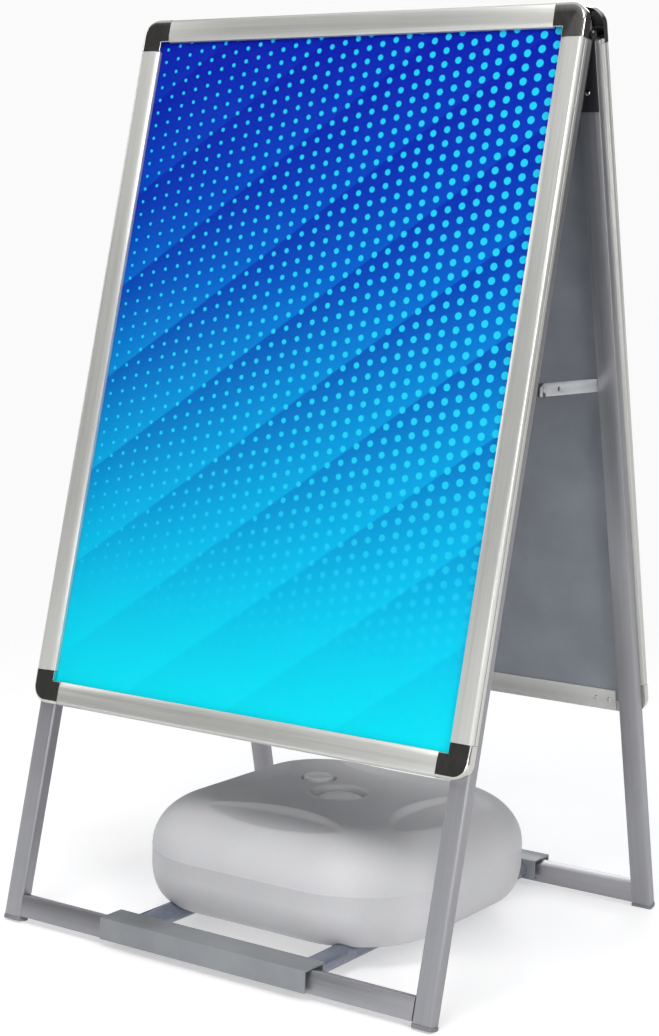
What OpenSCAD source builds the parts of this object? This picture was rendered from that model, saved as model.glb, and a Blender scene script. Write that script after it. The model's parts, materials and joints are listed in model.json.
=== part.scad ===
// Double-sided A-board with snap frames, folding stays and a water-filled ballast tank on a cradle.
// The two frames hang from one hinge line along X. The front frame faces -Y, Z is up and Z = 0 is the floor.

/* [Stance] */
// Angle of each frame from the vertical
tilt = 13.7; // [12:0.1:15]
// Length of a leg from the hinge line to the foot
leg_len = 1121.4; // [1115:0.1:1130]

/* [Legs] */
// Width over both legs
legs_w = 624.6; // [622:0.1:626]
// Width of one leg
leg_w = 25.5; // [24:0.5:27]
// Depth of one leg
leg_t = 15.8; // [15:0.1:16]
// Wall of the leg and crossbar tube
leg_wall = 1.6; // [1.2:0.1:2]
// Distance from the hinge line down to the top of a leg
leg_top = 8; // [7:0.5:10]
// Distance from the hinge line down to the top of a crossbar
bar_top = 1089.5; // [1089.4:0.1:1090]
// Height of a crossbar
bar_h = 26.5; // [25:0.5:27]

/* [Poster frame] */
// Visible width of the poster
view_w = 574; // [572:1:576]
// Visible height of the poster
view_h = 821; // [815:1:825]
// Width of a snap rail
rail_w = 29; // [28:0.5:30]
// Height of a snap rail above the legs
rail_t = 13; // [12.5:0.1:14]
// Length of a chrome corner along each side
corner_len = 41; // [38:0.5:44]
// Radius of a chrome corner
corner_r = 22; // [16:1:26]

/* [Hinge] */
// Gap from a leg to the hinge line
hinge_gap = 2; // [1.9:0.1:2.5]
// Radius of the hinge pin
pin_r = 2.5; // [2:0.1:3]
// Radial running clearance of the pin
pin_fit = 0.05; // [0.02:0.01:0.1]

/* [Stay] */
// Distance from the hinge line down to the stay
stay_drop = 400.5; // [380:0.5:420]
// Height of the stay strip
stay_h = 15.5; // [14:0.5:16]
// Thickness of the stay strip
stay_t = 1.6; // [1.2:0.1:1.8]

/* [Cradle] */
// Length of a channel
channel_len = 300; // [280:1:310]
// Depth of a channel
channel_d = 40; // [39:0.5:42]
// Sheet thickness of a channel
channel_wall = 2.5; // [2:0.1:2.5]
// Distance between the centres of the two tubes
tube_pitch = 250; // [240:1:256]
// Radius of a cradle tube
tube_r = 12.5; // [12:0.1:12.5]

/* [Tank] */
// Side of the square tank
tank_w = 408; // [400:1:410]
// Radius of the tank corners in plan
tank_corner = 124; // [110:1:130]
// Height of the underside above the floor
tank_bottom = 28; // [26:0.5:30]
// Height of the top above the floor
tank_top = 159; // [156:1:162]
// Wall of the blow-moulded tank
tank_wall = 4; // [3:0.5:5]

/* [Hidden] */
$fn = 64;

front = 1;
rear = -1;
left = -1;
right = 1;
sides = [left, right];
eps = 0.01;

// Stance
pivot_z = leg_len * cos(tilt) - hinge_gap * sin(tilt);
panel_y = hinge_gap + leg_t;            // from the hinge line to the plane between legs and poster frame
leg_x = legs_w / 2 - leg_w / 2;         // centre of a leg
leg_in = legs_w / 2 - leg_w;            // inner side of a leg
leg_edge_r = 3;

// Foot caps
cap_h = 4;                              // a cap covers this much of the leg's length
cap_sole = 1;
cap_over = 0.6;
cap_plug_len = 22;
cap_plug_fit = 0.1;

// Poster frame
frame_w = view_w + 2 * rail_w;
frame_h = view_h + 2 * rail_w;
frame_top = rail_w;                     // height of the frame's top edge above the hinge line
frame_mid = frame_top - frame_h / 2;
end_gap = 0.4;                          // between a rail and a chrome corner
rail_across = frame_w - 2 * corner_len - 2 * end_gap;
rail_upright = frame_h - 2 * corner_len - 2 * end_gap;

// Rail section: q runs in from the outer edge, w runs out from the legs
snap_wall = 1.3;
snap_edge_r = 4.7;
snap_edge_q = 0.3;                      // inset of the snap rail from the frame's edge
snap_hinge_q = 2.5;
snap_hinge_w = 8.4;
snap_bead_r = 2.1;
snap_foot = 0.7;                        // the outer flank reaches this far below the hinge line
snap_slope = 7;                         // width of the sloped inner flank
snap_drop = 2.6;                        // fall of the flank
lip_w = 5.6;                            // underside of the lip above the cover sheet
base_floor = 1.2;
base_inset = 1;                         // the floor stops this far short of the rail's inner edge
base_wall = 1.5;
base_wall_h = 5.9;
base_rib_q = 12;
base_rib_h = 4.2;
sheet_q = 15;                           // edge of the back and cover sheets inside the rail
poster_q = rail_w - 10;                 // the rails cover 10 mm of each edge of the poster
back_t = 3;
poster_t = 0.4;
cover_t = 0.5;
sheet_gap = 0.1;
back_w0 = base_floor + sheet_gap;
poster_w0 = back_w0 + back_t + sheet_gap;
cover_w0 = poster_w0 + poster_t + sheet_gap;

// Snap springs
spring_len = 40;
spring_t = 0.5;
spring_w = 9;
spring_rise = 4;
spring_foot = 0.9;
spring_crest = 1;                       // width of the flat top
spring_across = [-170, 170];
spring_upright = [-300, 0, 300];

// Corners
corner_floor_w = 1.6;
corner_skin = 2.2;
corner_rim = 2.4;
tongue_len = 14;
tongue_root = 8;
tongue_q = 4;                           // inset of the tongue from the outer edge
tongue = [5, 3];                        // width and thickness

// Head plate and rivets
head_plate_h = 115;
head_plate_t = 1.5;
head_plate_gap = 0.5;                   // to each leg
head_plate_drop = 1;                    // from the frame's top edge
rivet_r = 3;
rivet_head_t = 1.1;
rivet_inset = 22;                       // from a leg, and up from the plate's lower edge
rivet_pitch = 18;

// Hinge
knuckle_r = 5;
knuckle_gap = 0.3;
leaf_t = 1.8;
leaf_len = head_plate_h + head_plate_drop - frame_top;
leaf_clear = 1;
knuckle_len = (leg_w - 2 * knuckle_gap) / 3;
pin_head_r = 4.5;
pin_head_t = 1.5;

// Stay, in the plane beside each leg
stay_z = pivot_z - stay_drop;
stay_pivot_y = stay_drop * tan(tilt) + (hinge_gap + leg_t / 2) / cos(tilt);
stay_gap = 0.4;
hook_x = leg_in - stay_gap - stay_t;    // inner face of the hook strip
arm_x = hook_x - stay_gap - stay_t;     // inner face of the arm strip
stud_y = -35;
hook_end_y = -43;
hook_chamfer = 9;
hook_hole_y = 2;
hook_hole_r = 3;
notch = [7.4, 3.5];                     // width at the mouth, height of its top above the centre line
arm_end_y = 62;
arm_sag = 4;                            // the arm's lower edge hangs below the hook strip
arm_step = 10;                          // and is lowest this far in front of the stud
arm_end_taper = 1;
hook_tip = 5;                           // height of the chamfer at the hook's end
notch_slack = 1;                        // free space beside the stud
notch_bevel = 1.2;
stud_r = 1.5;
stud_head_r = 3.6;
stud_head_t = 1.6;
stay_rivet_r = 2;
stay_rivet_fit = 0.05;
stay_rivet_head_t = 1.4;
stay_rivet_gap = 0.1;                   // between a rivet head and its strip

// Cradle
channel_y0 = 250;                       // inner face of each channel
channel_top = 38;
channel_z0 = 11;
channel_lip = 9.5;
channel_lip_t = 2;
tube_z = 22;
tube_wall = 1.5;
tube_hole_fit = 0.1;
tube_proud = 1;                         // a tube stands this far through the channel wall

// Tank
groove_r = tube_r + 0.8;
belly_r = 46;                           // height of the rounding under the sides
belly_inset = 26;
belly_steps = 4;
side_z = 96;                            // the sides turn in above this height
shoulder_inset = 78;
shoulder_steps = 5;
tank_facets = 48;
slab_h = 1;
filler_pos = [-62, 42];
filler_r = 18.5;
filler_neck_r = 15;
filler_neck_wall = 2;
filler_seat_r = 19;                     // hole in the shell that the neck is set in
neck_fit = 0.1;
neck_collar = [21, 1.5];                // radius and height of the collar under the shell
filler_cap_h = 8;
filler_cap_roof = 2.5;
filler_cap_fit = 0.3;
filler_recess = 5;
recess_gap = 3;                         // free space round the cap
seal_t = 1.5;
seal_gap = 0.1;
well_r = 37;
well_depth = 12;
plug_r = 30;
plug_h = 10;

ANODISED = [0.78, 0.78, 0.76];
LEG_SILVER = [0.62, 0.62, 0.63];
CHROME = [0.86, 0.87, 0.88];
STEEL_GREY = [0.62, 0.64, 0.66];
TUBE_GREY = [0.54, 0.57, 0.62];
SHEET_GREY = [0.42, 0.44, 0.47];
BLACK_PLATE = [0.07, 0.07, 0.08];
CAP_GREY = [0.48, 0.49, 0.5];
POSTER_BLUE = [0.04, 0.42, 0.88];
TANK_GREY = [0.78, 0.78, 0.79];
SPRING_STEEL = [0.55, 0.56, 0.58];

// Puts a shape drawn in the frame's own coordinates on the front or the rear side.
// X runs across, -Y out of the frame's face and Z up along the frame from the hinge line.
module on_frame(face) {
    mirror([0, face == front ? 0 : 1, 0])
        translate([0, 0, pivot_z])
            rotate([-tilt, 0, 0])
                children();
}

// Turns a section (q, w) extruded along its own Z into a rail on one edge of the frame.
module on_upright_edge(side) {
    translate([side * frame_w / 2, -panel_y, frame_mid])
        rotate(side == left ? [180, 0, 0] : [0, 0, 180])
            children();
}

module on_level_edge(top) {
    translate([0, -panel_y, top ? frame_top : frame_top - frame_h])
        rotate([0, top ? -90 : 90, 0])
            rotate([0, 0, 180])
                children();
}

// Points along an arc, from angle a0 to a1
function arc(centre, r, a0, a1, steps = 12) =
    [for (k = [0 : steps]) centre + r * [cos(a0 + (a1 - a0) * k / steps), sin(a0 + (a1 - a0) * k / steps)]];

module box_tube(size, wall) {
    difference() {
        cube(size, center = true);
        cube([size[0] - 2 * wall, size[1] - 2 * wall, size[2] + 1], center = true);
    }
}

// Section of a leg, with its two outward long edges rounded
module leg_outline(inset) {
    w = leg_w / 2 - inset;
    t = leg_t / 2 - inset;
    r = max(leg_edge_r - inset, 1);
    polygon(concat(
        [[w, t], [-w, t]],
        arc([r - w, r - t], r, 180, 270, 6),
        arc([w - r, r - t], r, 270, 360, 6)
    ));
}

module leg(face, side) {
    body_len = leg_len - leg_top - cap_h;
    color(LEG_SILVER)
        on_frame(face)
            translate([side * leg_x, -hinge_gap - leg_t / 2, -leg_top - body_len])
                linear_extrude(height = body_len)
                    difference() {
                        leg_outline(0);
                        leg_outline(leg_wall);
                    }
}

module crossbar(face) {
    color(LEG_SILVER)
        on_frame(face)
            translate([0, -hinge_gap - leg_t / 2, -bar_top - bar_h / 2])
                rotate([0, 90, 0])
                    box_tube([bar_h, leg_t, 2 * leg_in - 2 * eps], leg_wall);
}

module foot_caps(face) {
    cap_end = leg_len + cap_sole;
    height = cap_h + cap_sole;
    color(CAP_GREY)
        difference() {
            on_frame(face)
                for (side = sides)
                    translate([side * leg_x, -hinge_gap - leg_t / 2, -cap_end]) {
                        linear_extrude(height = height)
                            leg_outline(-cap_over);
                        linear_extrude(height = height + cap_plug_len)
                            leg_outline(leg_wall + cap_plug_fit);
                    }
            translate([-legs_w, -legs_w, -legs_w])
                cube([2 * legs_w, 2 * legs_w, legs_w]);
        }
}

// Fixed rail: a floor under the sheets, an outer wall and a rib that the springs press on
module base_section() {
    square([rail_w - base_inset, base_floor]);
    square([base_wall, base_wall_h]);
    translate([base_rib_q, 0])
        square([base_wall, base_rib_h]);
}

module base_upright(face, side) {
    color(ANODISED)
        on_frame(face)
            on_upright_edge(side)
                linear_extrude(height = rail_upright, center = true)
                    base_section();
}

module base_level(face, top) {
    color(ANODISED)
        on_frame(face)
            on_level_edge(top)
                linear_extrude(height = rail_across, center = true)
                    base_section();
}

// Hinged cover of a rail: bead on the hinge line, rounded outer edge, flat face, sloped flank and a lip
module snap_section() {
    edge = [snap_edge_r + snap_edge_q, rail_t - snap_edge_r];
    flank_q = rail_w - snap_slope;
    lip_q = rail_w - snap_wall;
    polygon(concat(
        [[snap_edge_q, snap_hinge_w - snap_foot]],
        arc(edge, snap_edge_r, 180, 90),
        [
            [flank_q, rail_t],
            [rail_w, rail_t - snap_drop],
            [rail_w, lip_w],
            [lip_q, lip_w],
            [lip_q, rail_t - snap_drop - snap_wall],
            [flank_q, rail_t - snap_wall]
        ],
        arc(edge, snap_edge_r - snap_wall, 90, 140, 6),
        arc([snap_hinge_q, snap_hinge_w], snap_bead_r, 90, -160)
    ));
}

module snap_upright(face, side) {
    color(ANODISED)
        on_frame(face)
            on_upright_edge(side)
                linear_extrude(height = rail_upright, center = true)
                    snap_section();
}

module snap_level(face, top) {
    color(ANODISED)
        on_frame(face)
            on_level_edge(top)
                linear_extrude(height = rail_across, center = true)
                    snap_section();
}

// A bowed strip that lies on the rail's floor between the outer wall and the rib
module spring() {
    crest = [(spring_w - spring_crest) / 2, (spring_w + spring_crest) / 2];
    under = spring_rise - 1.2 * spring_t;
    linear_extrude(height = spring_len, center = true)
        translate([base_wall + 1, base_floor + sheet_gap])
            difference() {
                polygon([[0, 0], [spring_w, 0], [spring_w, spring_t], [crest[1], spring_rise],
                         [crest[0], spring_rise], [0, spring_t]]);
                polygon([[spring_foot, -1], [spring_w - spring_foot, -1], [spring_w - spring_foot, 0.8 * spring_t],
                         [crest[1] - 0.4, under], [crest[0] + 0.4, under], [spring_foot, 0.8 * spring_t]]);
            }
}

module snap_springs(face) {
    color(SPRING_STEEL)
        on_frame(face) {
            for (side = sides, z = spring_upright)
                on_upright_edge(side)
                    translate([0, 0, z])
                        spring();
            for (top = [false, true], x = spring_across)
                on_level_edge(top)
                    translate([0, 0, x])
                        spring();
        }
}

// Plan of one corner in the lower left quadrant, with its outer corner at the origin
module corner_plan(inset, inner_inset = 0) {
    inner = rail_w - inner_inset;
    polygon(concat(
        arc([corner_r, corner_r], corner_r - inset, 180, 270),
        [[corner_len, inset], [corner_len, inner], [inner, inner], [inner, corner_len], [inset, corner_len]]
    ));
}

// Chrome corner: a hollow rounded cap with a stepped rim, and a tongue into each rail
module corner() {
    difference() {
        union() {
            linear_extrude(height = rail_t - corner_rim)
                corner_plan(0);
            translate([0, 0, rail_t - corner_rim])
                linear_extrude(height = corner_rim / 2)
                    corner_plan(corner_rim / 3);
            translate([0, 0, rail_t - corner_rim / 2])
                linear_extrude(height = corner_rim / 2)
                    corner_plan(corner_rim);
        }
        translate([0, 0, corner_floor_w])
            linear_extrude(height = rail_t - corner_floor_w - corner_skin)
                corner_plan(corner_skin, corner_skin);
        // clears the sheets that run under the cap
        translate([sheet_q - sheet_gap, sheet_q - sheet_gap, -1])
            cube([corner_len, corner_len, lip_w + 1]);
    }
    translate([corner_len - tongue_root, tongue_q, base_floor + sheet_gap])
        cube([tongue_root + tongue_len, tongue[0], tongue[1]]);
    translate([tongue_q, corner_len - tongue_root, base_floor + sheet_gap])
        cube([tongue[0], tongue_root + tongue_len, tongue[1]]);
}

module corners(face) {
    color(CHROME)
        on_frame(face)
            translate([0, -panel_y, frame_mid])
                rotate([90, 0, 0])
                    for (sx = sides, sz = sides)
                        mirror([sx == right ? 1 : 0, 0, 0])
                            mirror([0, sz == right ? 1 : 0, 0])
                                translate([-frame_w / 2, -frame_h / 2, 0])
                                    corner();
}

// A flat sheet held under the rails
module sheet(face, w0, thickness, edge = sheet_q) {
    on_frame(face)
        translate([0, -panel_y - w0 - thickness / 2, frame_mid])
            cube([frame_w - 2 * edge, thickness, frame_h - 2 * edge], center = true);
}

module back_sheet(face) {
    color(SHEET_GREY)
        sheet(face, back_w0, back_t);
}

module poster(face) {
    color(POSTER_BLUE)
        sheet(face, poster_w0, poster_t, poster_q);
}

module cover_sheet(face) {
    color([0.95, 0.97, 1, 0.25])
        sheet(face, cover_w0, cover_t);
}

// Black plate across the back of the frame's head, between the legs
module head_plate(face) {
    color(BLACK_PLATE)
        on_frame(face)
            translate([0, -panel_y + sheet_gap + head_plate_t / 2, frame_top - head_plate_drop - head_plate_h / 2])
                cube([2 * (leg_in - head_plate_gap), head_plate_t, head_plate_h], center = true);
}

// Domed rivet head standing out of a surface towards +Y, with a short shank behind it
module rivet(shank) {
    rotate([-90, 0, 0]) {
        intersection() {
            translate([0, 0, rivet_head_t - 2 * rivet_r])
                sphere(r = 2 * rivet_r);
            cylinder(r = rivet_r, h = rivet_head_t);
        }
        translate([0, 0, -shank])
            cylinder(r = rivet_r / 2, h = shank + 0.1);
    }
}

// Pairs of rivets at the ends of the bottom rail and on the head plate, and one on each hinge strap
module frame_rivets(face) {
    plate_back = -panel_y + sheet_gap + head_plate_t;
    color(CHROME)
        on_frame(face)
            for (side = sides) {
                for (k = [0, 1]) {
                    translate([side * (leg_in - rivet_inset - k * rivet_pitch), -panel_y,
                               frame_top - frame_h + rail_w / 2])
                        rivet(0);
                    translate([side * (leg_in - rivet_inset - k * rivet_pitch), plate_back,
                               frame_top - head_plate_h + rivet_inset])
                        rivet(0);
                }
                translate([side * leg_x, leaf_t - hinge_gap, rivet_inset - leaf_len])
                    rivet(0);
            }
}

// Hinge strap down the inner face of a leg. The front strap has the outer knuckles.
module hinge_leaf(face) {
    spans = face == front ? [-1, 1] : [0];
    strap_z = knuckle_r + leaf_clear;
    hole_r = face == front ? pin_r : pin_r + pin_fit;
    difference() {
        union() {
            translate([-leg_w / 2, -hinge_gap, -leaf_len])
                cube([leg_w, leaf_t, leaf_len - strap_z]);
            for (k = spans)
                translate([k * (knuckle_len + knuckle_gap) - knuckle_len / 2, 0, 0]) {
                    translate([0, -hinge_gap, -strap_z - eps])
                        cube([knuckle_len, leaf_t, strap_z + eps]);
                    rotate([0, 90, 0])
                        cylinder(r = knuckle_r, h = knuckle_len);
                }
        }
        translate([-leg_w, 0, 0])
            rotate([0, 90, 0])
                cylinder(r = hole_r, h = 2 * leg_w);
    }
}

module hinge_leaves(face) {
    color(BLACK_PLATE)
        on_frame(face)
            for (side = sides)
                translate([side * leg_x, 0, 0])
                    hinge_leaf(face);
}

module hinge_pins() {
    color(CHROME)
        for (side = sides)
            translate([side * leg_x - leg_w / 2, 0, pivot_z])
                rotate([0, 90, 0]) {
                    cylinder(r = pin_r, h = leg_w);
                    for (z = [-pin_head_t, leg_w])
                        translate([0, 0, z])
                            cylinder(r = pin_head_r, h = pin_head_t);
                }
}

// Places a stay strip drawn in (y, z) about the stay's centre line, with its inner face at |x|
module stay_plate(side, x, thickness) {
    translate([side == right ? x : -x - thickness, 0, stay_z])
        rotate([90, 0, 90])
            linear_extrude(height = thickness)
                children();
}

// Front half of a stay: swings on the front leg and carries the stud
module stay_arm(side) {
    half = stay_h / 2;
    color(STEEL_GREY)
        stay_plate(side, arm_x, stay_t)
            difference() {
                polygon(concat(
                    arc([-stay_pivot_y, 0], half, 90, 270),
                    [[stud_y - arm_step, -half - arm_sag], [arm_end_y, arm_end_taper - half],
                     [arm_end_y, half - arm_end_taper]]
                ));
                translate([-stay_pivot_y, 0])
                    circle(r = stay_rivet_r + stay_rivet_fit);
                translate([stud_y, 0])
                    circle(r = stud_r);
            }
}

// Shouldered stud riveted in the arm. The hook strip drops between its head and the arm.
module stay_stud(side) {
    shank = stay_t + 2 * stay_gap + stay_t;
    color(CHROME) {
        translate([0, stud_y, 0])
            stay_plate(side, arm_x, shank)
                circle(r = stud_r);
        translate([0, stud_y, 0])
            stay_plate(side, arm_x + shank, stud_head_t)
                circle(r = stud_head_r);
    }
}

// Rear half of a stay: swings on the rear leg, and its notch hooks over the stud
module stay_hook(side) {
    half = stay_h / 2;
    color(STEEL_GREY)
        stay_plate(side, hook_x, stay_t)
            difference() {
                polygon(concat(
                    arc([stay_pivot_y, 0], half, -90, 90),
                    [[hook_end_y + hook_chamfer, half], [hook_end_y, half - hook_tip], [hook_end_y, -half]]
                ));
                polygon([
                    [stud_y - stud_r - notch_slack, -stay_h],
                    [stud_y - stud_r - notch_slack, notch[1]],
                    [stud_y + stud_r + notch_slack + notch_bevel, notch[1]],
                    [stud_y + notch[0], -stay_h]
                ]);
                translate([hook_hole_y, 0])
                    circle(r = hook_hole_r);
                translate([stay_pivot_y, 0])
                    circle(r = stay_rivet_r + stay_rivet_fit);
            }
}

// Rivets that carry the stays: a head inside the strip, a shank to the leg and, at the front, a spacer
module stay_rivets(face) {
    inner = face == front ? arm_x : hook_x;
    shank_x = inner - stay_rivet_gap;
    spacer_x = arm_x + stay_t + stay_rivet_gap;
    color(CHROME)
        for (side = sides)
            translate([0, -face * stay_pivot_y, 0]) {
                stay_plate(side, shank_x - stay_rivet_head_t, stay_rivet_head_t)
                    circle(r = 2 * stay_rivet_r);
                stay_plate(side, shank_x - eps, leg_in - shank_x + eps)
                    circle(r = stay_rivet_r);
                if (face == front)
                    stay_plate(side, spacer_x, leg_in - spacer_x)
                        circle(r = 2 * stay_rivet_r);
            }
}

// Folded channel that sits over a crossbar: inner wall with a lip, top flange and outer wall
module channel(face) {
    wall_h = channel_top - channel_z0;
    color(STEEL_GREY)
        mirror([0, face == front ? 1 : 0, 0])
            difference() {
                translate([-channel_len / 2, channel_y0, channel_z0]) {
                    cube([channel_len, channel_wall, wall_h]);
                    cube([channel_len, channel_lip, channel_lip_t]);
                    translate([0, 0, wall_h - channel_wall])
                        cube([channel_len, channel_d, channel_wall]);
                    translate([0, channel_d - channel_wall, 0])
                        cube([channel_len, channel_wall, wall_h]);
                }
                for (side = sides)
                    translate([side * tube_pitch / 2, channel_y0 - 1, tube_z])
                        rotate([-90, 0, 0])
                            cylinder(r = tube_r + tube_hole_fit, h = channel_wall + 2);
            }
}

module cradle_tube(side) {
    half_len = channel_y0 + channel_wall + tube_proud;
    color(TUBE_GREY)
        translate([side * tube_pitch / 2, -half_len, tube_z])
            rotate([-90, 0, 0])
                difference() {
                    cylinder(r = tube_r, h = 2 * half_len);
                    translate([0, 0, -1])
                        cylinder(r = tube_r - tube_wall, h = 2 * half_len + 2);
                }
}

// Rounded square slab of the tank, from z0 up
module tank_slab(inset, z0, h = slab_h) {
    c = tank_w / 2 - tank_corner;
    for (x = [-c, c], y = [-c, c])
        translate([x, y, z0])
            cylinder(r = tank_corner - inset, h = h, $fn = tank_facets);
}

// Outer or, with inset, inner form of the blow-moulded tank
module tank_form(inset) {
    side_bottom = tank_bottom + belly_r;
    hull() {
        tank_slab(inset, side_bottom, side_z - side_bottom);
        for (k = [1 : belly_steps]) {
            a = 90 * k / belly_steps;
            tank_slab(inset + belly_inset * (1 - cos(a)), tank_bottom + inset + (belly_r - inset) * (1 - sin(a)));
        }
        for (k = [1 : shoulder_steps]) {
            a = 90 * k / shoulder_steps;
            tank_slab(inset + shoulder_inset * (1 - cos(a)),
                      side_z + (tank_top - inset - side_z) * sin(a) - slab_h);
        }
    }
}

// What the two tube grooves take out of the tank, with grow added for the walls round them
module tube_grooves(grow) {
    for (side = sides)
        translate([side * tube_pitch / 2, -tank_w, tube_z])
            rotate([-90, 0, 0])
                cylinder(r = groove_r + grow, h = 2 * tank_w);
}

// The well and the filler recess, with grow added for the walls round them
module top_wells(grow) {
    translate([0, 0, tank_top - well_depth - grow])
        cylinder(r = well_r + grow, h = well_depth + 2 * grow + 1);
    translate([filler_pos[0], filler_pos[1], tank_top - filler_recess - grow])
        cylinder(r = filler_r + recess_gap + grow, h = filler_recess + 2 * grow + 1);
}

module tank_shell() {
    color(TANK_GREY)
        difference() {
            tank_form(0);
            difference() {
                tank_form(tank_wall);
                tube_grooves(tank_wall);
                top_wells(tank_wall);
            }
            tube_grooves(0);
            top_wells(0);
            translate([filler_pos[0], filler_pos[1], tank_top - filler_recess - 2 * tank_wall])
                cylinder(r = filler_seat_r, h = 3 * tank_wall);
        }
}

// Neck set in the floor of the filler recess, with a collar on the inside
module filler_neck() {
    color(TANK_GREY)
        translate([filler_pos[0], filler_pos[1], tank_top - filler_recess - tank_wall])
            difference() {
                union() {
                    translate([0, 0, -neck_collar[1]])
                        cylinder(r = neck_collar[0], h = neck_collar[1]);
                    cylinder(r = filler_seat_r - neck_fit, h = tank_wall);
                    cylinder(r = filler_neck_r, h = tank_wall + filler_recess - seal_t);
                }
                translate([0, 0, -neck_collar[1] - 1])
                    cylinder(r = filler_neck_r - filler_neck_wall, h = tank_wall + filler_recess + neck_collar[1] + 1);
            }
}

// Domed plug in the central well
module centre_plug() {
    dome_r = (plug_r * plug_r + plug_h * plug_h) / (2 * plug_h);
    color(TANK_GREY)
        translate([0, 0, tank_top - well_depth])
            intersection() {
                translate([0, 0, plug_h - dome_r])
                    sphere(r = dome_r, $fn = 96);
                cylinder(r = plug_r, h = plug_h);
            }
}

// Screw cap over the neck
module filler_cap() {
    color(TANK_GREY)
        translate([filler_pos[0], filler_pos[1], tank_top - filler_recess + filler_cap_fit])
            difference() {
                cylinder(r = filler_r, h = filler_cap_h);
                translate([0, 0, -1])
                    cylinder(r = filler_neck_r + filler_cap_fit, h = filler_cap_h - filler_cap_roof + 1);
            }
}

module filler_seal() {
    color(BLACK_PLATE)
        translate([filler_pos[0], filler_pos[1], tank_top - seal_t + seal_gap])
            difference() {
                cylinder(r = filler_neck_r, h = seal_t);
                translate([0, 0, -1])
                    cylinder(r = filler_neck_r - filler_neck_wall, h = seal_t + 2);
            }
}

leg(front, left);  // front_leg_left
leg(front, right);  // front_leg_right
crossbar(front);  // front_crossbar
foot_caps(front);  // front_foot_caps
base_upright(front, left);  // front_base_left
base_upright(front, right);  // front_base_right
base_level(front, true);  // front_base_top
base_level(front, false);  // front_base_bottom
snap_upright(front, left);  // front_snap_left
snap_upright(front, right);  // front_snap_right
snap_level(front, true);  // front_snap_top
snap_level(front, false);  // front_snap_bottom
snap_springs(front);  // front_snap_springs
corners(front);  // front_corners
back_sheet(front);  // front_back_sheet
poster(front);  // front_poster
cover_sheet(front);  // front_cover_sheet
head_plate(front);  // front_head_plate
frame_rivets(front);  // front_frame_rivets
hinge_leaves(front);  // front_hinge_leaves
leg(rear, left);  // rear_leg_left
leg(rear, right);  // rear_leg_right
crossbar(rear);  // rear_crossbar
foot_caps(rear);  // rear_foot_caps
base_upright(rear, left);  // rear_base_left
base_upright(rear, right);  // rear_base_right
base_level(rear, true);  // rear_base_top
base_level(rear, false);  // rear_base_bottom
snap_upright(rear, left);  // rear_snap_left
snap_upright(rear, right);  // rear_snap_right
snap_level(rear, true);  // rear_snap_top
snap_level(rear, false);  // rear_snap_bottom
snap_springs(rear);  // rear_snap_springs
corners(rear);  // rear_corners
back_sheet(rear);  // rear_back_sheet
poster(rear);  // rear_poster
cover_sheet(rear);  // rear_cover_sheet
head_plate(rear);  // rear_head_plate
frame_rivets(rear);  // rear_frame_rivets
hinge_leaves(rear);  // rear_hinge_leaves
hinge_pins();
stay_arm(left);  // stay_arm_left
stay_arm(right);  // stay_arm_right
stay_stud(left);  // stay_stud_left
stay_stud(right);  // stay_stud_right
stay_hook(left);  // stay_hook_left
stay_hook(right);  // stay_hook_right
stay_rivets(front);  // stay_rivets_front
stay_rivets(rear);  // stay_rivets_rear
channel(front);  // front_channel
channel(rear);  // rear_channel
cradle_tube(left);  // cradle_tube_left
cradle_tube(right);  // cradle_tube_right
tank_shell();
filler_neck();
centre_plug();
filler_cap();
filler_seal();
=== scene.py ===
"""Double-sided A-board with chrome-cornered snap frames, folding stays and a ballast tank on its cradle."""

import json
import math

import bmesh
import bpy
from mathutils import Euler, Matrix, Vector

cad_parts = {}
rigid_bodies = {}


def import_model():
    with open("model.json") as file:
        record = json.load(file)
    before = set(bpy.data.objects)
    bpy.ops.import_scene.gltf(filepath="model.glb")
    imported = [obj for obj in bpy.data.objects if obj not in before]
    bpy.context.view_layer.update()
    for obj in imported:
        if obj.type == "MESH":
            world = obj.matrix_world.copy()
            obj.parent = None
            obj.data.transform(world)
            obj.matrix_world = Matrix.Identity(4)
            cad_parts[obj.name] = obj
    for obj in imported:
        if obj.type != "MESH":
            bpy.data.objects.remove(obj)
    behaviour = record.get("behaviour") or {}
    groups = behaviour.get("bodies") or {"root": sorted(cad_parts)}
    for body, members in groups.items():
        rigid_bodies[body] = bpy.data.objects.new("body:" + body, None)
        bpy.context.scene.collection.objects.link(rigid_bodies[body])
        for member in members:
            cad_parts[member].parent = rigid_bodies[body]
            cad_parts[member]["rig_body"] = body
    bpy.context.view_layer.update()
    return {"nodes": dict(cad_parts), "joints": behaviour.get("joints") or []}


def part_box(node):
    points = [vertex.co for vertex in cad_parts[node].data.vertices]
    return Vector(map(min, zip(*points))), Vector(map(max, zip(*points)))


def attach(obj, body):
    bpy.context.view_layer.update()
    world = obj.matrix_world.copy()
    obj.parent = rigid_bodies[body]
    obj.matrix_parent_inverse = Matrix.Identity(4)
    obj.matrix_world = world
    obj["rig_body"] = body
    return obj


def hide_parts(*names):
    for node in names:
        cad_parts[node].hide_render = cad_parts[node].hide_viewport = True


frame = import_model()

MM = 0.001
FACES = ("front", "rear")
nodes = frame["nodes"]
joints = {joint["name"]: joint for joint in frame["joints"]}

# ---------------------------------------------------------------- places read from the frame

HINGE_Z = joints["rear_frame_fold"]["pos_m"][2]
rail_axis = Vector(joints["front_left_rail_open"]["axis"])
TILT = math.atan2(abs(rail_axis.y), abs(rail_axis.z))


def panel_matrix(face):
    """Panel coordinates (X across, -Y out of the poster, Z up from the hinge line) to the row frame."""
    matrix = Matrix.Translation((0, 0, HINGE_Z)) @ Matrix.Rotation(-TILT, 4, "X")
    if face == "rear":
        matrix = Matrix.Diagonal((1, -1, 1, 1)) @ matrix
    return matrix


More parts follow.
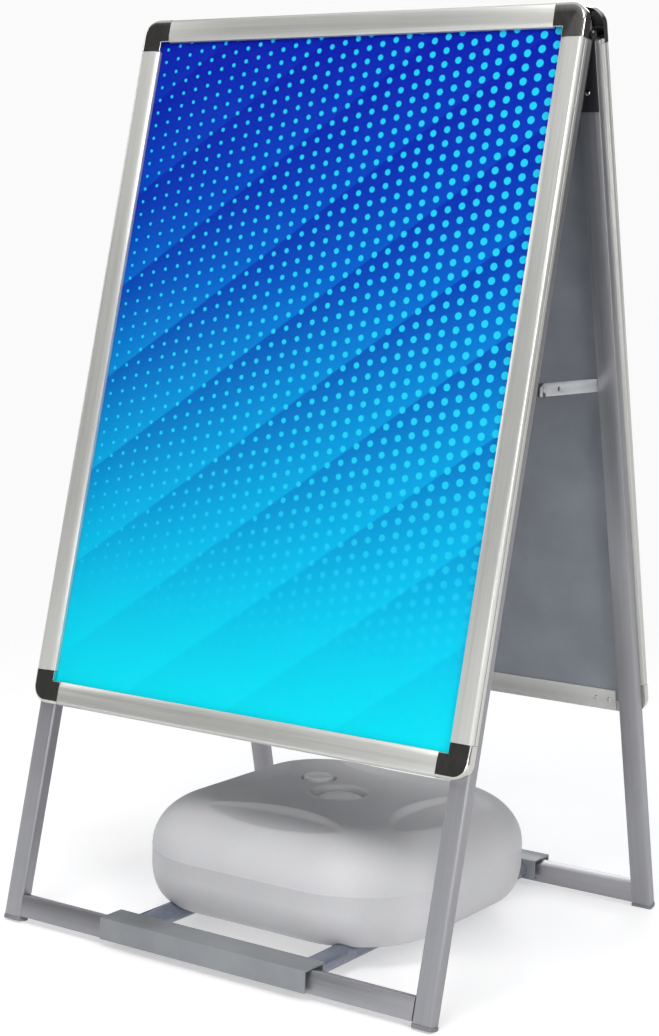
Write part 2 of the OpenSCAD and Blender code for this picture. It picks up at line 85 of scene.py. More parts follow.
def panel_box(node, face):
    """Lowest and highest corner of a CAD node in its panel's coordinates."""
    inverse = panel_matrix(face).inverted()
    points = [inverse @ vertex.co for vertex in nodes[node].data.vertices]
    low = Vector([min(p[k] for p in points) for k in range(3)])
    high = Vector([max(p[k] for p in points) for k in range(3)])
    return low, high


# ---------------------------------------------------------------- shaders


class Shader:
    """A node material on a Principled BSDF, with short ways to add nodes."""

    def __init__(self, name, **sockets):
        self.material = bpy.data.materials.new(name)
        self.material.use_nodes = True
        self.tree = self.material.node_tree
        self.bsdf = self.tree.nodes["Principled BSDF"]
        for socket, value in sockets.items():
            self.bsdf.inputs[socket.replace("_", " ")].default_value = value
        self.coords = self.node("ShaderNodeTexCoord").outputs["Object"]

    def node(self, kind, inputs=None, **settings):
        node = self.tree.nodes.new(kind)
        for key, value in settings.items():
            setattr(node, key, value)
        for key, value in (inputs or {}).items():
            self.feed(node.inputs[key], value)
        return node

    def feed(self, socket, value):
        if isinstance(value, bpy.types.NodeSocket):
            self.tree.links.new(value, socket)
        else:
            socket.default_value = value

    def math(self, operation, a, b=0.0, clamp=False):
        return self.node("ShaderNodeMath", {0: a, 1: b}, operation=operation, use_clamp=clamp).outputs[0]

    def between(self, value, low, high, to_low=0.0, to_high=1.0):
        """Smooth step of value from low to high."""
        inputs = {"Value": value, "From Min": low, "From Max": high, "To Min": to_low, "To Max": to_high}
        return self.node("ShaderNodeMapRange", inputs, interpolation_type="SMOOTHSTEP").outputs[0]

    def mix(self, factor, a, b):
        mix = self.node("ShaderNodeMix", data_type="RGBA")
        self.feed(mix.inputs[0], factor)
        self.feed(mix.inputs[6], a)
        self.feed(mix.inputs[7], b)
        return mix.outputs[2]

    def noise(self, scale, detail=2.0, vector=None, roughness=0.5):
        inputs = {"Vector": vector or self.coords, "Scale": scale, "Detail": detail, "Roughness": roughness}
        return self.node("ShaderNodeTexNoise", inputs).outputs["Fac"]

    def ramp(self, value, stops):
        ramp = self.node("ShaderNodeValToRGB", {"Fac": value})
        elements = ramp.color_ramp.elements
        while len(elements) < len(stops):
            elements.new(0.5)
        for element, (position, colour) in zip(elements, stops):
            element.position = position
            element.color = colour
        return ramp.outputs["Color"]

    def mapped(self, scale=(1, 1, 1), rotation=(0, 0, 0), location=(0, 0, 0)):
        inputs = {"Vector": self.coords, "Scale": scale, "Rotation": rotation, "Location": location}
        return self.node("ShaderNodeMapping", inputs).outputs[0]

    def bump(self, height, distance, strength=1.0):
        bump = self.node("ShaderNodeBump", {"Height": height, "Distance": distance, "Strength": strength})
        self.feed(self.bsdf.inputs["Normal"], bump.outputs["Normal"])


def srgb(code):
    """Linear colour of a hexadecimal screen colour."""
    parts = [int(code[k:k + 2], 16) / 255 for k in (0, 2, 4)]
    return tuple(c / 12.92 if c <= 0.04045 else ((c + 0.055) / 1.055) ** 2.4 for c in parts) + (1,)


def panel_coords(shader, face, stretch=(1, 1, 1)):
    """Object coordinates turned into panel coordinates, then stretched."""
    turn = TILT if face == "front" else -TILT
    level = Euler((turn, 0, 0)).to_matrix() @ Vector((0, 0, -HINGE_Z))
    turned = shader.mapped(rotation=(turn, 0, 0), location=level)
    if stretch == (1, 1, 1):
        return turned
    return shader.node("ShaderNodeMapping", {"Vector": turned, "Scale": stretch}).outputs[0]


def drawn_metal(name, face, along, low, high, roughness=(0.3, 0.42), metallic=0.85):
    """Extruded aluminium: fine die lines that run along the profile, soft blotches and a satin sheen."""
    shader = Shader(name, Metallic=metallic)
    across, length = 900, 4
    stretch = [across, across, across]
    stretch[along] = length
    lines = shader.noise(1, 3, panel_coords(shader, face, tuple(stretch)), 0.6)
    broad = [60, 60, 60]
    broad[along] = 1.2
    bands = shader.noise(1, 2, panel_coords(shader, face, tuple(broad)))
    cloud = shader.noise(9, 3)
    tone = shader.math("ADD", shader.math("MULTIPLY", lines, 0.45), shader.math("MULTIPLY", bands, 0.35))
    tone = shader.math("ADD", tone, shader.math("MULTIPLY", cloud, 0.2))
    shader.feed(shader.bsdf.inputs["Base Color"], shader.ramp(tone, [(0.35, low), (0.65, high)]))
    shader.feed(shader.bsdf.inputs["Roughness"], shader.between(lines, 0.3, 0.7, *roughness))
    shader.bump(lines, 0.00004, 0.5)
    return shader.material


def painted(name, low, high, roughness, grain_size, grain_depth, metallic=0.0, coat=0.0):
    """Sprayed or moulded surface: soft colour drift, uneven gloss and a fine grain."""
    shader = Shader(name, Metallic=metallic, Coat_Weight=coat, Coat_Roughness=0.12)
    drift = shader.noise(14, 4)
    grain = shader.noise(1 / grain_size, 2, None, 0.6)
    tone = shader.math("ADD", shader.math("MULTIPLY", drift, 0.75), shader.math("MULTIPLY", grain, 0.25))
    shader.feed(shader.bsdf.inputs["Base Color"], shader.ramp(tone, [(0.36, low), (0.64, high)]))
    spread = 0.06
    gloss = shader.between(drift, 0.3, 0.7, roughness - spread, roughness + spread)
    shader.feed(shader.bsdf.inputs["Roughness"], gloss)
    shader.bump(grain, grain_depth, 0.6)
    return shader.material


def chrome(name):
    """Plated metal, bright and dark, with faint wiping marks in the gloss."""
    shader = Shader(name, Metallic=1.0)
    wipes = shader.noise(1, 3, shader.mapped(scale=(300, 300, 40)), 0.6)
    haze = shader.noise(35, 2)
    tone = shader.math("MULTIPLY", shader.math("ADD", wipes, haze), 0.5)
    shader.feed(shader.bsdf.inputs["Base Color"],
                shader.ramp(tone, [(0.3, srgb("c9c6bf")), (0.7, srgb("e6e5e1"))]))
    shader.feed(shader.bsdf.inputs["Roughness"], shader.between(tone, 0.35, 0.7, 0.05, 0.12))
    return shader.material


def tank_plastic(name, low, high):
    """Blow-moulded polyethylene: milky grey, a little light in the wall, orange-peel skin."""
    shader = Shader(name, Subsurface_Weight=0.15, Subsurface_Scale=0.01, Specular_IOR_Level=0.4)
    drift = shader.noise(5, 3)
    peel = shader.noise(260, 2, None, 0.5)
    speck = shader.noise(900, 2)
    tone = shader.math("ADD", shader.math("MULTIPLY", drift, 0.8), shader.math("MULTIPLY", speck, 0.2))
    shader.feed(shader.bsdf.inputs["Base Color"],
                shader.ramp(tone, [(0.34, low), (0.66, high)]))
    shader.feed(shader.bsdf.inputs["Roughness"], shader.between(drift, 0.3, 0.7, 0.4, 0.52))
    shader.bump(peel, 0.0002, 0.5)
    return shader.material


def poster_print(name, face):
    """Print of dots and slanted bands on a blue gradient, worked out in panel coordinates."""
    shader = Shader(name, Roughness=0.5, Specular_IOR_Level=0.06)
    low, high = panel_box(f"{face}_poster", face)
    split = shader.node("ShaderNodeSeparateXYZ", {"Vector": panel_coords(shader, face)})
    mirrored = 1 if face == "front" else -1     # so that both faces read the same way
    covered = 10 * MM            # the rails hide this much of each edge
    across = shader.math("SUBTRACT", shader.math("MULTIPLY", split.outputs["X"], mirrored), low.x + covered)
    down = shader.math("SUBTRACT", high.z - covered, split.outputs["Z"])
    share = shader.math("DIVIDE", down, high.z - low.z - 2 * covered)
    ground = shader.ramp(share, [
        (0.0, srgb("0421b4")), (0.15, srgb("023cbf")), (0.25, srgb("004ac4")), (0.36, srgb("0066d0")),
        (0.49, srgb("038ada")), (0.61, srgb("03a2e3")), (0.73, srgb("03b9ec")), (0.85, srgb("04d1f5")),
        (1.0, srgb("04ecfd"))])

    # slanted bands: a sawtooth that is darkest just under each edge and fades down to the next one
    band_pitch, band_slope, band_start = 0.118, 0.77, 0.077
    climb = shader.math("ADD", shader.math("SUBTRACT", down, band_start),
                        shader.math("MULTIPLY", across, band_slope))
    saw = shader.math("FRACT", shader.math("DIVIDE", climb, band_pitch))
    edge = shader.between(saw, 0.0, 0.03)
    shade = shader.math("MULTIPLY", edge, shader.math("SUBTRACT", 1.0, saw))
    fade = shader.between(share, 0.35, 1.0, 0.62, 0.06)
    banded = shader.mix(shader.math("MULTIPLY", shade, fade), ground, srgb("0410a4"))

    # dots on a sheared grid, larger to the right, paler towards the foot
    pitch_across, pitch_down, shear = 0.018, 0.0165, 0.27
    column = shader.math("DIVIDE", across, pitch_across)
    cell_x = shader.math("SUBTRACT", shader.math("FRACT", column), 0.5)
    offset = shader.math("MULTIPLY", shader.math("FLOOR", column), shear)
    row = shader.math("ADD", shader.math("DIVIDE", down, pitch_down), offset)
    cell_y = shader.math("SUBTRACT", shader.math("FRACT", row), 0.5)
    dx = shader.math("MULTIPLY", cell_x, pitch_across)
    dy = shader.math("MULTIPLY", cell_y, pitch_down)
    square = shader.math("ADD", shader.math("MULTIPLY", dx, dx), shader.math("MULTIPLY", dy, dy))
    reach = shader.math("SQRT", square)
    least_radius, growth, softness = 0.0020, 0.0048, 0.0003
    radius = shader.math("ADD", shader.math("MULTIPLY", across, growth), least_radius)
    gap = shader.math("SUBTRACT", radius, reach)
    dot = shader.between(gap, -softness, softness)
    strength = shader.between(share, 0.55, 1.0, 0.95, 0.12)
    printed = shader.mix(shader.math("MULTIPLY", dot, strength), banded, srgb("24d9fb"))

    fibre = shader.noise(1400, 3)
    worn = shader.mix(shader.between(fibre, 0.45, 0.8, 0.0, 0.3), printed, shader.mix(0.9, ground, printed))
    shader.feed(shader.bsdf.inputs["Base Color"], worn)
    shader.bump(fibre, 0.00002, 0.3)
    return shader.material


def clear_film(name):
    """Thin anti-glare cover sheet: almost clear, with a faint uneven gloss."""
    shader = Shader(name, Alpha=0.03, IOR=1.45)
    haze = shader.noise(30, 3)
    tint = shader.ramp(haze, [(0.3, srgb("26303c")), (0.7, srgb("3a4450"))])
    shader.feed(shader.bsdf.inputs["Base Color"], tint)
    shader.feed(shader.bsdf.inputs["Roughness"], shader.between(haze, 0.3, 0.7, 0.22, 0.34))
    return shader.material


UPRIGHT, LEVEL = 2, 0       # axis of the panel that a profile runs along
materials = {
    "chrome": chrome("chrome"),
    "grey_steel": painted("grey_steel", srgb("8d9093"), srgb("a0a3a6"), 0.45, 0.0006, 0.00006, metallic=0.35),
    "tube_paint": painted("tube_paint", srgb("6f7686"), srgb("8a91a1"), 0.25, 0.0015, 0.00003, metallic=0.3,
                          coat=0.5),
    "zinc_steel": painted("zinc_steel", srgb("b8babd"), srgb("d6d8da"), 0.4, 0.002, 0.00004, metallic=0.5),
    # painted shade: a darker copy of the zinc finish, standing in for the shadow on the stay arm under the
    # hook
    "zinc_in_painted_shade": painted("zinc_in_painted_shade", srgb("55575b"), srgb("74767a"), 0.34, 0.002, 0.00004, metallic=0.9),
    "spring_steel": painted("spring_steel", srgb("7d7f83"), srgb("9a9ca0"), 0.3, 0.001, 0.00002,
                            metallic=1.0),
    "sheet_grey": painted("sheet_grey", srgb("83888f"), srgb("93989f"), 0.5, 0.0008, 0.00004),
    "black_plate": painted("black_plate", srgb("141416"), srgb("222226"), 0.42, 0.0007, 0.00005),
    "cap_grey": painted("cap_grey", srgb("7c7d7f"), srgb("8c8d90"), 0.55, 0.0009, 0.00012),
    "clear_sheet": clear_film("clear_sheet"),
    "tank_plastic": tank_plastic("tank_plastic", srgb("ccccce"), srgb("d8d8da")),
    # painted light: a lighter copy of the tank plastic, standing in for the light that the domed plug and the
    # filler cap catch
    "tank_plastic_painted_light": tank_plastic("tank_plastic_painted_light", srgb("e6e6e7"), srgb("f0f0f1")),
    "rubber_seal": painted("rubber_seal", srgb("131313"), srgb("242424"), 0.7, 0.0008, 0.0001),
}
ANODISED = (srgb("c9c9c4"), srgb("dededa"))
SILVER = (srgb("9e9ea2"), srgb("b6b6ba"))
for face in FACES:
    materials[f"poster_print_{face}"] = poster_print(f"poster_print_{face}", face)
    for run, axis in (("upright", UPRIGHT), ("level", LEVEL)):
        rail, leg = f"anodised_{run}_{face}", f"leg_{run}_{face}"
        materials[rail] = drawn_metal(rail, face, axis, *ANODISED, metallic=0.55)
        materials[leg] = drawn_metal(leg, face, axis, *SILVER, (0.34, 0.46))


def finish_of(node):
    """(record slot, material) of a CAD node."""
    face = "rear" if node.startswith("rear") else "front"
    run = "upright" if node.endswith(("left", "right")) else "level"
    table = [
        (("_snap_springs",), "spring_steel", "spring_steel"),
        (("_base_", "_snap_"), "anodised_rail", f"anodised_{run}_{face}"),
        (("_leg_",), "leg_silver", f"leg_upright_{face}"),
        (("_crossbar",), "leg_silver", f"leg_level_{face}"),
        (("_foot_caps",), "cap_grey", "cap_grey"),
        (("_corners", "_rivets", "rivets_", "_stud_", "hinge_pins"), "chrome", "chrome"),
        (("_back_sheet",), "sheet_grey", "sheet_grey"),
        (("_poster",), "poster_print", f"poster_print_{face}"),
        (("_cover_sheet",), "clear_sheet", "clear_sheet"),
        (("_head_plate", "_hinge_leaves"), "black_plate", "black_plate"),
        # the stay arm gets the zinc in painted shade, the hook gets the plain zinc
        (("stay_arm",), "zinc_steel", "zinc_in_painted_shade"),
        (("stay_hook",), "zinc_steel", "zinc_steel"),
        (("_channel",), "grey_steel", "grey_steel"),
        (("cradle_tube",), "tube_paint", "tube_paint"),
        (("filler_seal",), "rubber_seal", "rubber_seal"),
        (("tank_shell", "filler_neck"), "tank_plastic", "tank_plastic"),
        # the plug and the filler cap get the tank plastic with painted light
        (("centre_plug", "filler_cap"), "tank_plastic", "tank_plastic_painted_light"),
    ]
    return next((slot, materials[name]) for keys, slot, name in table if any(key in node for key in keys))


# ---------------------------------------------------------------- mesh helpers


def new_piece(name, mesh, body, material, smooth_angle=32):
    """Puts a mesh in the scene as a piece that rides on a CAD body."""
    piece = bpy.data.objects.new(name, mesh)
    bpy.context.scene.collection.objects.link(piece)
    mesh.materials.clear()
    mesh.materials.append(material)
    mesh.shade_smooth()
    mesh.set_sharp_from_angle(angle=math.radians(smooth_angle))
    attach(piece, body)
    return piece


def refined(node, bevel=0.35):
    """A copy of a CAD node with its coplanar facets joined and its edges broken by a small round."""
    mesh = nodes[node].data.copy()
    work = bmesh.new()
    work.from_mesh(mesh)
    bmesh.ops.remove_doubles(work, verts=work.verts, dist=0.005 * MM)
    bmesh.ops.dissolve_limit(work, angle_limit=math.radians(0.5), verts=work.verts, edges=work.edges)
    least = math.radians(30)
    sharp = [e for e in work.edges if len(e.link_faces) == 2 and e.calc_face_angle(0) > least]
    bmesh.ops.bevel(work, geom=sharp, offset=bevel * MM, segments=2, profile=0.5, affect="EDGES",
                    clamp_overlap=True)
    bmesh.ops.triangulate(work, faces=[f for f in work.faces if len(f.verts) > 4])
    work.to_mesh(mesh)
    work.free()
    slot, material = finish_of(node)
    piece = new_piece(f"{node}_finished", mesh, nodes[node]["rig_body"], material)
    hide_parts(node)
    return piece


def loft(rings, cap_start=False, cap_end=False):
    """bmesh of quads between closed rings of equal length."""
    work = bmesh.new()
    rows = [[work.verts.new(point) for point in ring] for ring in rings]
    count = len(rings[0])
    for lower, upper in zip(rows, rows[1:]):
        for k in range(count):
            n = (k + 1) % count
            work.faces.new((lower[k], lower[n], upper[n], upper[k]))
    if cap_start:
        work.faces.new(rows[0][::-1])
    if cap_end:
        work.faces.new(rows[-1])
    return work


def arc(centre, radius, start, end, steps):
    """Points along an arc in degrees, both ends included."""
    angles = [math.radians(start + (end - start) * k / steps) for k in range(steps + 1)]
    return [(centre[0] + radius * math.cos(a), centre[1] + radius * math.sin(a)) for a in angles]


def to_mesh(work, name, matrix=None):
    """Welds, turns the faces outwards and makes a mesh."""
    bmesh.ops.remove_doubles(work, verts=work.verts, dist=0.01 * MM)
    if matrix is not None:
        bmesh.ops.transform(work, matrix=matrix, verts=work.verts)
    bmesh.ops.recalc_face_normals(work, faces=work.faces)
    mesh = bpy.data.meshes.new(name)
    work.to_mesh(mesh)
    work.free()
    return mesh


# ---------------------------------------------------------------- carried-over CAD nodes

for name, node in nodes.items():
    node.data.materials.clear()
    node.data.materials.append(finish_of(name)[1])
    node.data.shade_smooth()
    node.data.set_sharp_from_angle(angle=math.radians(32))

# nodes whose CAD shape is kept, with its edges broken
FINISHED = ["_leg_", "_crossbar", "_base_", "_foot_caps", "_head_plate", "_channel", "stay_arm", "stay_hook",
            "_hinge_leaves"]
for name in list(nodes):
    if any(key in name for key in FINISHED):
        refined(name)
    elif "_snap_" in name and "springs" not in name:
        refined(name, bevel=0.25)

# ---------------------------------------------------------------- chrome corners

RAIL_W = 29 * MM
RAIL_T = 13 * MM
CORNER_R = 22 * MM
CORNER_LEN = 41 * MM
CREASE_Q = 15 * MM           # inside this line the cap is mitred, outside it is rounded
SHEET_SPACE = (14.7 * MM, 5.5 * MM)


def corner_section():
    """(q, w) outline of the cap: q in from the outer edge, w out from the legs."""
    edge, lip = 4.5 * MM, 1.2 * MM
    crown = 0.9 * MM         # the cap's face falls this much towards the poster
    foot = 0.3 * MM          # the cap stops this far above the legs
    top = RAIL_T
    points = [(0.15 * MM, foot)]
    points += arc((edge, top - edge), edge, 180, 90, 10)
    points += [(RAIL_W * 0.45, top - crown * 0.15), (RAIL_W * 0.75, top - crown * 0.6)]
    points += arc((RAIL_W - lip, top - crown - lip), lip, 90, 0, 4)
    points += [(RAIL_W, SHEET_SPACE[1]), SHEET_SPACE, (SHEET_SPACE[0], foot)]
    return points


def corner_point(q, angle):
    """Point of the corner's plan at inset q, where angle runs from 270 to 180 degrees around the bend."""
    radius = CORNER_R * max(0.0, 1 - q / CREASE_Q)
    centre = q + radius
    return centre + radius * math.cos(angle), centre + radius * math.sin(angle)


def corner_rings():
    """Rings of the section from one cut end, around the bend, to the other cut end."""
    section = corner_section()
    rings = [[(CORNER_LEN, q, w) for q, w in section]]
    steps = 18
    for k in range(steps + 1):
        angle = math.radians(270 - 90 * k / steps)
        rings.append([(*corner_point(q, angle), w) for q, w in section])
    rings.append([(q, CORNER_LEN, w) for q, w in section])
    return rings


def chrome_corners(face):
    low, high = panel_box(f"{face}_corners", face)
    plane_y = high.y
    whole = bmesh.new()
    for side_x in (-1, 1):
        for side_z in (-1, 1):
            cap = loft(corner_rings(), cap_start=True, cap_end=True)
            bmesh.ops.remove_doubles(cap, verts=cap.verts, dist=0.01 * MM)
            origin_x = low.x if side_x < 0 else high.x
            origin_z = low.z if side_z < 0 else high.z
            for vertex in cap.verts:
                x, z, w = vertex.co
                vertex.co = (origin_x - side_x * x, plane_y - w, origin_z - side_z * z)
            piece = bpy.data.meshes.new("cap")
            cap.to_mesh(piece)
            cap.free()
            whole.from_mesh(piece)
            bpy.data.meshes.remove(piece)
    mesh = to_mesh(whole, f"{face}_chrome_corners", panel_matrix(face))
    body = nodes[f"{face}_corners"]["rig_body"]
    caps = new_piece(f"{face}_chrome_corners", mesh, body, materials["chrome"], 40)
    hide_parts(f"{face}_corners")


for face in FACES:
    chrome_corners(face)

# ---------------------------------------------------------------- tank

tank_low, tank_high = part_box("tank_shell")
plug_low, plug_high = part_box("centre_plug")
cap_low, cap_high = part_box("filler_cap")
tube_low, tube_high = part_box("cradle_tube_right")

TANK_HALF = tank_high.x
TANK_CORNER = 124 * MM
TANK_SIDES = 384
TANK_TOP = tank_high.z
BELLY = (26 * MM, 46 * MM)                  # inset and height of the rounding under the sides
PARTING_Z = 96 * MM
SHOULDER = 78 * MM                          # inset of the rounding above the sides
WELL_R = 37 * MM
WELL_FLOOR = plug_low.z
SCOOP_REACH = 102 * MM                      # from the tank's centre to the nearest point of a scoop
SCOOP_R = 146 * MM
SCOOP_HALF = 108 * MM                       # a scoop is this far to either side of its middle
SCOOP_DEPTH = 8 * MM
SCOOP_FALL = 0.02                           # slope of a scoop's bed towards the tank's edge
SCOOP_RIM = (0.7 * MM, 2 * MM, 2.5 * MM)    # height, distance outside the scoop and width of its raised rim
RECESS = (5 * MM, 2 * MM, 6 * MM)           # depth round the filler cap, and where it starts and ends to rise
RIDGE = 0.25 * MM                           # the parting line stands out this much
BELLY_STEPS, SHOULDER_STEPS, TOP_STEPS = 14, 40, 56
FILLER = Vector(((cap_low.x + cap_high.x) / 2, (cap_low.y + cap_high.y) / 2))
FILLER_R = (cap_high.x - cap_low.x) / 2


def outline_radius(inset, angle):
    """Distance from the centre to the tank's plan outline, drawn in by inset."""
    u, v = abs(math.cos(angle)), abs(math.sin(angle))
    half = TANK_HALF - inset
    radius = TANK_CORNER - inset
    centre = half - radius
    straight = half / max(u, v)
    if min(u, v) * straight <= centre:
        return straight
    along = centre * (u + v)
    return along + math.sqrt(along * along - 2 * centre * centre + radius * radius)


def smooth(value, low, high):
    share = min(max((value - low) / (high - low), 0), 1)
    return share * share * (3 - 2 * share)


def top_relief(x, y, z):
    """Height of the tank's top at a point, once the moulded details are sunk in the plain form's height z."""
    rim_height, rim_gap, rim_width = SCOOP_RIM
    for away, aside in ((-y, x), (x, y), (y, x), (-x, y)):
        if away <= 0 or abs(aside) >= SCOOP_HALF:
            continue
        inside = SCOOP_R - math.hypot(SCOOP_REACH + SCOOP_R - away, aside)
        bow = 1 - (aside / SCOOP_HALF) ** 2
        bed = TANK_TOP - SCOOP_DEPTH * bow - SCOOP_FALL * (away - SCOOP_REACH)
        cut = max(z - bed, 0) * smooth(inside, -0.5 * MM, 7 * MM)
        z += rim_height * math.exp(-((inside + rim_gap) / rim_width) ** 2) * bow - cut
    depth, start, end = RECESS
    reach = math.hypot(x - FILLER.x, y - FILLER.y)
    return z - depth * (1 - smooth(reach, FILLER_R + start, FILLER_R + end))


def tank_rings():
    """Rings from the middle of the tank's underside, round the side and over the top to the well's floor."""
    angles = [2 * math.pi * (k + 0.5) / TANK_SIDES for k in range(TANK_SIDES)]
    rings = []

    def side_ring(inset, z, relief=False):
        points = []
        for angle in angles:
            reach = outline_radius(inset, angle)
            x, y = reach * math.cos(angle), reach * math.sin(angle)
            points.append((x, y, top_relief(x, y, z) if relief else z))
        rings.append(points)

    def circle(radius, z):
        rings.append([(radius * math.cos(a), radius * math.sin(a), z) for a in angles])

    foot = [outline_radius(BELLY[0], angle) for angle in angles]
    for share in (0.02, 0.3, 0.6, 0.85):
        ring = [(r * share * math.cos(a), r * share * math.sin(a), tank_low.z) for r, a in zip(foot, angles)]
        rings.append(ring)
    for k in range(BELLY_STEPS + 1):
        a = math.pi / 2 * k / BELLY_STEPS
        side_ring(BELLY[0] * (1 - math.sin(a)), tank_low.z + BELLY[1] * (1 - math.cos(a)))
    for rise, proud in ((-1.3, 0), (-0.7, 1), (0.7, 1), (1.3, 0)):
        side_ring(-proud * RIDGE, PARTING_Z + rise * MM)
    for k in range(1, SHOULDER_STEPS + 1):
        a = math.pi / 2 * k / SHOULDER_STEPS
        side_ring(SHOULDER * (1 - math.cos(a)), PARTING_Z + (TANK_TOP - PARTING_Z) * math.sin(a), True)

    rim = WELL_R + 5 * MM
    for k in range(1, TOP_STEPS + 1):
        share = k / TOP_STEPS
        points = []
        for angle in angles:
            reach = outline_radius(SHOULDER, angle) * (1 - share) + rim * share
            x, y = reach * math.cos(angle), reach * math.sin(angle)
            points.append((x, y, top_relief(x, y, TANK_TOP)))
        rings.append(points)

    # raised lip of the well, its wall and the fillet at its floor
    for radius, z in arc((rim - 2 * MM, TANK_TOP - 1.2 * MM), 2 * MM, 60, 120, 5):
        circle(radius, z)
    for radius, z in arc((WELL_R - 1 * MM, TANK_TOP - 3 * MM), 3 * MM, 75, 0, 6):
        circle(WELL_R + 1 * MM - (radius - WELL_R + 1 * MM), z)
    fillet = 4 * MM
    bottom_r = WELL_R - 2 * MM - fillet
    for radius, z in arc((bottom_r, WELL_FLOOR + fillet), fillet, 0, -90, 6):
        circle(radius, z)
    for share in (0.7, 0.35, 0.02):
        circle(bottom_r * share, WELL_FLOOR)
    return rings


def cylinder_between(start, end, radius, sides=64):
    """Closed round bar as a bmesh."""
    axis = (end - start).normalized()
    across = axis.orthogonal().normalized()
    other = axis.cross(across)
    rings = []
    for point in (start, end):
        rings.append([point + radius * (math.cos(a) * across + math.sin(a) * other)
                      for a in (2 * math.pi * k / sides for k in range(sides))])
    return loft(rings, cap_start=True, cap_end=True)


def tank():
    """Tank body with the grooves for the two cradle tubes cut out of its underside."""
    mesh = to_mesh(loft(tank_rings(), cap_start=True, cap_end=True), "tank_body")
    body = new_piece("tank_body", mesh, "tank", materials["tank_plastic"], 50)
    tube_x = (tube_low.x + tube_high.x) / 2
    tube_z = (tube_low.z + tube_high.z) / 2
    groove_r = (tube_high.x - tube_low.x) / 2 + 0.8 * MM
    cutters = bmesh.new()
    for side in (-1, 1):
        reach = TANK_HALF + 50 * MM
        ends = [Vector((side * tube_x, end, tube_z)) for end in (-reach, reach)]
        bar = cylinder_between(*ends, groove_r)
        part = bpy.data.meshes.new("bar")
        bmesh.ops.recalc_face_normals(bar, faces=bar.faces)
        bar.to_mesh(part)
        bar.free()
        cutters.from_mesh(part)
        bpy.data.meshes.remove(part)
    cutter_mesh = bpy.data.meshes.new("grooves")
    cutters.to_mesh(cutter_mesh)
    cutters.free()
    cutter = bpy.data.objects.new("grooves", cutter_mesh)
    bpy.context.scene.collection.objects.link(cutter)
    cut = body.modifiers.new("grooves", "BOOLEAN")
    cut.operation = "DIFFERENCE"
    cut.solver = "EXACT"
    cut.object = cutter
    bpy.context.view_layer.update()
    result = bpy.data.meshes.new_from_object(body.evaluated_get(bpy.context.evaluated_depsgraph_get()))
    body.modifiers.clear()
    body.data = result
    bpy.data.objects.remove(cutter)
    result.set_sharp_from_angle(angle=math.radians(50))
    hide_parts("tank_shell")


def turned(name, profile, centre, body, slot, replaced, sides=96, wobble=None):
    """A turned piece from an (r, z) profile around a vertical axis. wobble(angle, r, z) moves r."""
    rings = []
    for radius, z in profile:
        points = []
        for k in range(sides):
            a = 2 * math.pi * k / sides
            r = radius if wobble is None else wobble(a, radius, z)
            points.append((centre[0] + r * math.cos(a), centre[1] + r * math.sin(a), z))
        rings.append(points)
    mesh = to_mesh(loft(rings, cap_start=True, cap_end=True), name)
    piece = new_piece(name, mesh, body, finish_of(replaced)[1], 40)
    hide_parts(replaced)
    return piece


def plug():
    """Domed plug with a soft edge, a shade smaller than the well."""
    radius = (plug_high.x - plug_low.x) / 2
    height = plug_high.z - plug_low.z
    skirt = 0.6 * MM
    steps = 20
    profile = [(radius - 0.5 * MM, plug_low.z), (radius, plug_low.z + skirt)]
    for k in range(1, steps):
        share = k / steps
        dome = math.sqrt(1 - (1 - share) ** 2.2)
        profile.append((radius * (1 - share), plug_low.z + skirt + (height - skirt) * dome))
    profile.append((0.3 * MM, plug_high.z))
    turned("domed_plug", profile, (0, 0), "tank", "tank_plastic", "centre_plug", 128)


def filler():
    """Ribbed screw cap with a soft crown."""
    top = cap_high.z
    bottom = cap_low.z
    rib_depth, rib_count, rib_end = 0.5 * MM, 36, 1.2 * MM
    round_r = 1.6 * MM
    dish = top - 0.8 * MM

    def ribs(angle, radius, z):
        if radius < FILLER_R - rib_end or z > top - rib_end:
            return radius
        return radius - rib_depth * (0.5 + 0.5 * math.cos(rib_count * angle))

    profile = [(FILLER_R - 1 * MM, bottom), (FILLER_R, bottom + 0.6 * MM), (FILLER_R, top - round_r)]
    profile += arc((FILLER_R - round_r, top - round_r), round_r, 0, 90, 5)[1:]
    profile += [(FILLER_R - 4 * MM, top), (FILLER_R - 5 * MM, dish), (FILLER_R * 0.4, dish), (0.3 * MM, dish)]
    turned("ribbed_cap", profile, FILLER, nodes["filler_cap"]["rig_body"], "tank_plastic", "filler_cap",
           288, ribs)


tank()
plug()
filler()

# ---------------------------------------------------------------- camera, floor and light

HORIZON = 0.06               # brightness of the dim band and the ceiling, in light and reflections
CEILING = 0.7
BACKDROP = 0.96              # brightness of the backdrop that the camera sees
FLOOR_FADE = (0.45, 2.2)     # the floor turns into the backdrop between these distances, in metres
FLOOR_GLOW = 0.3             # light that the floor gives by itself, and more of it for the camera
CAMERA_GLOW = 0.32

camera_data = bpy.data.cameras.new("camera")
camera = bpy.data.objects.new("camera", camera_data)
camera.location = (1.4127, -2.1468, 0.847)
camera.rotation_euler = [math.radians(angle) for angle in (82.096, -1.574, 34.043)]
camera_data.sensor_width = 36
camera_data.lens = 72.25
camera_data.shift_x = -0.0009
camera_data.shift_y = 0.0145
camera_data.clip_end = 200
bpy.context.scene.collection.objects.link(camera)
bpy.context.scene.camera = camera


